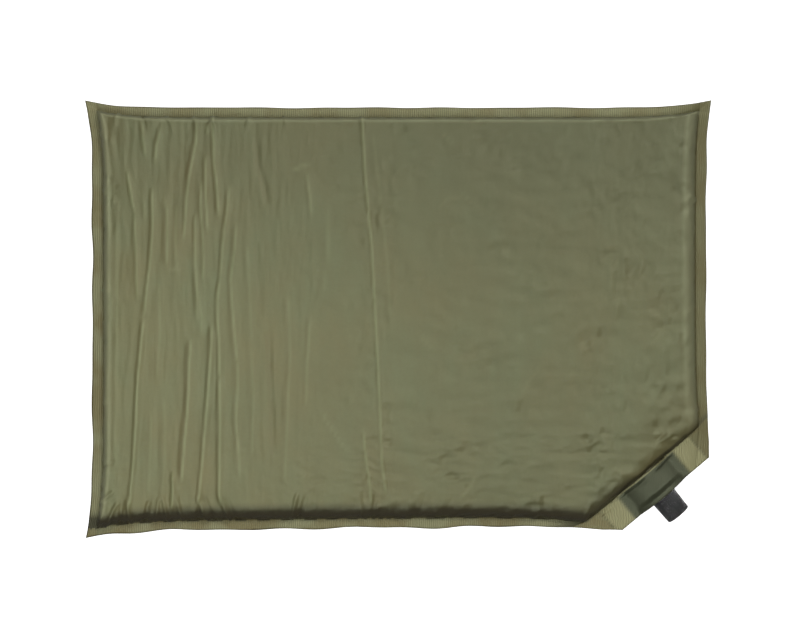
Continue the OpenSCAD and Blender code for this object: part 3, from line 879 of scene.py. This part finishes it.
def fabric_colour(b, patch):
    """The plain fabric: mottled olive, with painted shade towards the right and the top and on one face
    of each crease, and painted highlights on the crests and on three walls."""
    cloud = b.noise(b.scaled(b.flat, 1.3, 0.8), 12.0, 3.0, 0.55)
    fleck = b.noise(b.flat, 420.0, 2.0, 0.6)
    colour = b.mix(b.ramp(cloud, 0.38, 0.62), b.toned(110, 97, 58), b.toned(102, 106, 72))
    colour = b.mix(b.ramp(patch, 0.3, 0.7, 0.2, 0.8), colour, b.toned(102, 97, 63))
    colour = b.mix(b.ramp(fleck, 0.3, 0.7, 0.0, 0.14), colour, b.toned(74, 70, 44))
    # Painted shade: the fabric gets darker towards the right and the top.
    age_and_shade = b.math("ADD", b.ramp(b.u, -0.22, 0.08, 0.0, 0.5), b.ramp(b.v, 0.0, 0.13, 0.0, 0.36))
    colour = b.mix(age_and_shade, colour, b.toned(58, 54, 26))
    # Painted shade on one face of each crease, and a painted highlight on the crests.
    colour = b.mix(b.share("lee_shade", 0.4), colour, b.toned(86, 66, 38))
    colour = b.mix(b.share("crest", 0.32), colour, b.toned(152, 160, 118))
    # Painted light on the walls of three sides.
    return b.mix(b.share("pale", 0.8), colour, b.toned(168, 170, 136))


def pressed_colour(b, rib):
    """The welds, which the bar has pressed: paler in patches, and darker at the right."""
    soiled = b.ramp(b.noise(b.flat, 38.0, 2.0), 0.42, 0.62)
    colour = b.mix(soiled, b.toned(142, 139, 104), b.toned(122, 108, 70))
    colour = b.mix(b.ramp(b.u, 0.2, 0.24, 0.0, 0.7), colour, b.toned(84, 72, 34))
    colour = b.mix(b.ramp(b.v, 0.155, 0.17, 0.0, 0.25), colour, b.toned(172, 172, 130))
    return b.mix(b.ramp(rib, -1, 1, 0.0, 0.6), colour, b.toned(92, 86, 56))


def hatched_colour(b):
    """The fans beside the cut corner's strip, hatched finer than the welds."""
    wander = b.math("MULTIPLY", b.noise(b.flat, 70.0), 0.0045)
    rib = b.wave(b.math("ADD", b.math("MULTIPLY", b.u, 1.5), wander), RIB_M)
    return b.mix(b.ramp(rib, -0.9, 0.9), b.toned(112, 106, 70), b.toned(164, 160, 120))


def with_painted_corner_lines(b, colour):
    """Adds the painted shade line and the painted highlight line behind the cut corner's strip."""
    inset = b.attribute("cut_inset")
    within = b.ramp(b.math("ABSOLUTE", b.attribute("cut_along")), 44.0, 48.0, 1.0, 0.0)
    wander = b.math("MULTIPLY", b.math("SUBTRACT", b.noise(b.flat, 90.0), 0.5), 2.4)
    dark = b.near_line(b.math("ADD", inset, wander), SHADE_LINE, 1.4, 2.6, 0.85)
    colour = b.mix(b.math("MULTIPLY", dark, within), colour, b.toned(38, 27, 10))
    pale = b.near_line(inset, HIGHLIGHT_LINE, 0.2, 0.9, 0.7)
    return b.mix(b.math("MULTIPLY", pale, within), colour, b.toned(150, 146, 106))


def cloth_bump(b, rib, weld, strip):
    """The weave, the ribs of the welds outside the plain strip, and fine wrinkles."""
    weave = b.math("MULTIPLY", b.wave(b.u, THREAD_M), b.wave(b.v, THREAD_M))
    n = b.bump(weave, 0.35, 0.00006)
    ribbed = b.math("MULTIPLY", rib, b.math("SUBTRACT", weld, b.math("MULTIPLY", strip, 0.9)))
    n = b.bump(ribbed, 0.6, 0.0002, n)
    fine = b.noise(b.scaled(b.flat, 1.0, 0.6), 240.0, 4.0, 0.6)
    return b.bump(fine, 0.35, 0.0006, n)


def cover_material(name, tone):
    """Coated woven polyester: a fine plain weave with a ribbed press mark on every weld."""
    b = Cloth(name, tone)
    weld, strip = b.attribute("weld"), b.attribute("strip")
    patch = b.noise(b.scaled(b.flat, 2.0, 0.7), 40.0, 3.0, 0.6)
    wander = b.math("MULTIPLY", b.noise(b.flat, 55.0), 0.0012)
    rib = b.wave(b.math("ADD", b.u, wander), RIB_M)
    colour = b.mix(b.math("MULTIPLY", weld, 0.9), fabric_colour(b, patch), pressed_colour(b, rib))
    colour = b.mix(b.math("MULTIPLY", strip, 0.95), colour, b.toned(28, 31, 21))
    colour = b.mix(b.share("fan", 0.85), colour, hatched_colour(b))
    colour = b.mix(b.share("fan_end", 0.7), colour, b.toned(70, 66, 38))
    colour = b.mix(b.share("edge", 0.45), colour, b.toned(56, 52, 32))
    # Painted shade at the walls' feet and in the cut corner's hollow.
    colour = b.mix(b.share("foot", 0.95, clamp=True), colour, b.toned(40, 29, 12))
    colour = with_painted_corner_lines(b, colour)
    rough = b.math("ADD", b.ramp(patch, 0.3, 0.7, 0.36, 0.43), b.math("MULTIPLY", weld, 0.10))
    # The coating's sheen is strong and greenish in the photograph.
    return b.coat(
        Base_Color=colour,
        Roughness=rough,
        Normal=cloth_bump(b, rib, weld, strip),
        Specular_IOR_Level=1.0,
        Specular_Tint=(0.93, 1.0, 0.68, 1.0),
    )


def foam_material():
    """Open-cell polyurethane foam: small round cells in a pale yellow."""
    b = Build("foam_look")
    at = b.node("ShaderNodeTexCoord").outputs["Object"]
    cells = b.node("ShaderNodeTexVoronoi")
    b.link(at, cells.inputs["Vector"])
    cells.inputs["Scale"].default_value = 900.0
    cell = cells.outputs["Distance"]
    age_and_shade = b.noise(at, 22.0, 3.0)
    colour = b.mix(b.ramp(age_and_shade, 0.35, 0.65), rgb(226, 214, 158), rgb(205, 188, 124))
    # Painted shade darkens the cells' pits.
    colour = b.mix(b.ramp(cell, 0.0, 0.5, 0.35, 0.0), colour, rgb(140, 122, 70))
    n = b.bump(cell, 0.7, 0.0006)
    return b.coat(Base_Color=colour, Roughness=b.ramp(cell, 0, 0.6, 0.95, 0.8), Normal=n)


def moulded_material(name, colour, worn, rough, grain, coat=0.0, wear=1.0):
    """Moulded plastic or rubber, with a fine skin, a mottled gloss and rubbed spots. Wear is how
    strong the mottling and the rubbing are."""
    b = Build(name)
    at = b.node("ShaderNodeTexCoord").outputs["Object"]
    mottle = b.noise(at, 240.0, 3.0, 0.6)
    skin = b.noise(at, 2400.0, 2.0, 0.5)
    rubbed = b.noise(at, 90.0, 4.0, 0.7)
    tone = b.mix(b.ramp(mottle, 0.3, 0.7, 0.0, 0.5 * wear), colour, worn)
    tone = b.mix(b.ramp(rubbed, 0.62, 0.74, 0.0, 0.35 * wear), tone, worn)
    return b.coat(
        Base_Color=tone,
        Roughness=b.ramp(mottle, 0.3, 0.7, rough - 0.04 * wear, rough + 0.05 * wear),
        Normal=b.bump(skin, grain, 0.00005),
        Coat_Weight=coat,
        Coat_Roughness=0.12,
        Specular_IOR_Level=0.5,
    )


def dress(node, material, bevel_mm=0.0):
    """Gives a CAD node its material and, where a bevel is asked for, rounds its sharp edges."""
    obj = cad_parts[node]
    obj.data.materials.clear()
    obj.data.materials.append(material)
    if bevel_mm:
        rounded = obj.modifiers.new("edges", "BEVEL")
        rounded.width = bevel_mm * MM
        rounded.segments = 2
        rounded.limit_method = "ANGLE"
        rounded.angle_limit = math.radians(35)
        rounded.use_clamp_overlap = True


# --- Stage ---


WORLD_LIGHT = 0.22
# Each area light: its place (m), power (W), size (m) and colour. All shine at the pad's middle.
LIGHTS = {
    "key": ((0.9, 1.6, 2.9), 38.0, 0.8, (1.0, 1.0, 0.99)),
    "top": ((-0.36, -0.5, 1.5), 9.0, 0.6, (0.97, 1.0, 1.0)),
    "side": ((1.16, 0.37, 1.05), 2.6, 0.12, (1.0, 1.0, 1.0)),
    "glint": ((0.35, -0.3, 1.5), 0.8, 0.05, (1.0, 1.0, 1.0)),
}
# The floor is a square this far out to each side, and this far below the pad, in metres.
FLOOR_REACH, FLOOR_DROP = 6, 0.0005


def add_light(name, place, power, size, colour):
    data = bpy.data.lights.new(name, "AREA")
    data.energy, data.size, data.color = power, size, colour
    lamp = bpy.data.objects.new(name, data)
    lamp.location = place
    lamp.rotation_euler = (-Vector(place)).to_track_quat("-Z", "Y").to_euler()
    bpy.context.scene.collection.objects.link(lamp)


def set_light():
    """A dim white world and four area lights, with colours shown as they are."""
    scene = bpy.context.scene
    scene.view_settings.view_transform = "Standard"
    scene.view_settings.look = "None"
    world = bpy.data.worlds.new("studio")
    scene.world = world
    world.use_nodes = True
    background = world.node_tree.nodes["Background"]
    background.inputs["Color"].default_value = (1.0, 1.0, 1.0, 1.0)
    background.inputs["Strength"].default_value = WORLD_LIGHT
    for name, (place, power, size, colour) in LIGHTS.items():
        add_light(name, place, power, size, colour)


def make_floor():
    """A glowing white floor that neither bounces light nor shows in the gloss, because the
    photograph is a cut-out on white."""
    r = FLOOR_REACH
    mesh = bpy.data.meshes.new("floor")
    mesh.from_pydata([(-r, -r, 0), (r, -r, 0), (r, r, 0), (-r, r, 0)], [], [(0, 1, 2, 3)])
    b = Build("floor_look")
    look = b.coat(
        Base_Color=(0.9, 0.9, 0.9, 1.0),
        Roughness=0.9,
        Emission_Color=(1, 1, 1, 1),
        Emission_Strength=0.9,
    )
    mesh.materials.append(look)
    floor = bpy.data.objects.new("floor", mesh)
    floor.location.z = -FLOOR_DROP
    floor.visible_diffuse = floor.visible_glossy = False
    bpy.context.scene.collection.objects.link(floor)
    return floor


# The camera's frame is this many millimetres wide at the pad's upper face.
FRAME_MM = 636.8
SENSOR_MM, LENS_MM = 36.0, 110.0
FAR_END = 50


def set_camera():
    """Straight down over the middle of the pad, from far enough for almost no perspective."""
    data = bpy.data.cameras.new("camera")
    data.sensor_width, data.lens = SENSOR_MM, LENS_MM
    distance = FRAME_MM * MM * LENS_MM / SENSOR_MM
    camera = bpy.data.objects.new("camera", data)
    camera.location = (0.0, 0.0, HALF_T * MM + distance)
    data.clip_end = FAR_END
    bpy.context.scene.collection.objects.link(camera)
    bpy.context.scene.camera = camera


# The covers' grids: stretches as (where the stretch ends, pitch), finest at the creases on the left,
# at the fold and at the valve's corner, and how many steps there are over a weld and up a wall.
TOP_X = [(-64, 1.25), (-30, 2.8), (-2, 1.3), (150, 3.0), (250, 1.6)]
TOP_Y = [(-95, 1.6), (175, 3.2)]
BOTTOM_X = [(-30, 3.4), (-2, 1.3), (250, 3.4)]
BOTTOM_Y = [(175, 3.6)]

set_camera()
set_light()
floor = make_floor()

top = make_cover("cover_top_fabric", True, TOP_X, TOP_Y, 5, 12)
bottom = make_cover("cover_bottom_fabric", False, BOTTOM_X, BOTTOM_Y, 4, 9)
top.data.materials.append(cover_material("cover_top_look", 1.0))
bottom.data.materials.append(cover_material("cover_bottom_look", 0.86))
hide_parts("top_cover")
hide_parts("bottom_cover")
# Each cover's placing is baked into its mesh.
for cover in (top, bottom):
    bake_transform(cover)

foam_look = foam_material()
for half in ("foam_core_left", "foam_core_right"):
    dress(half, foam_look)
    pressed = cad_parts[half].modifiers.new("pressed in by the cover", "DISPLACE")
    pressed.strength, pressed.mid_level = -FOAM_PRESSED * MM, 0.0
dress("valve_boat", moulded_material("boat_look", rgb(44, 46, 42), rgb(60, 62, 56), 0.6, 0.3))
dress("valve_stem", moulded_material("stem_look", rgb(30, 30, 29), rgb(44, 44, 42), 0.42, 0.2))
dress("valve_stopper", moulded_material("stopper_look", rgb(58, 58, 55), rgb(74, 74, 70), 0.7, 0.35))
cap_look = moulded_material("cap_look", rgb(10, 10, 9), rgb(20, 20, 19), 0.13, 0.01, coat=0.5, wear=0.3)
dress("valve_cap", cap_look, bevel_mm=0.06)
dress("cap_seal", moulded_material("seal_look", rgb(36, 36, 34), rgb(52, 52, 49), 0.5, 0.3))
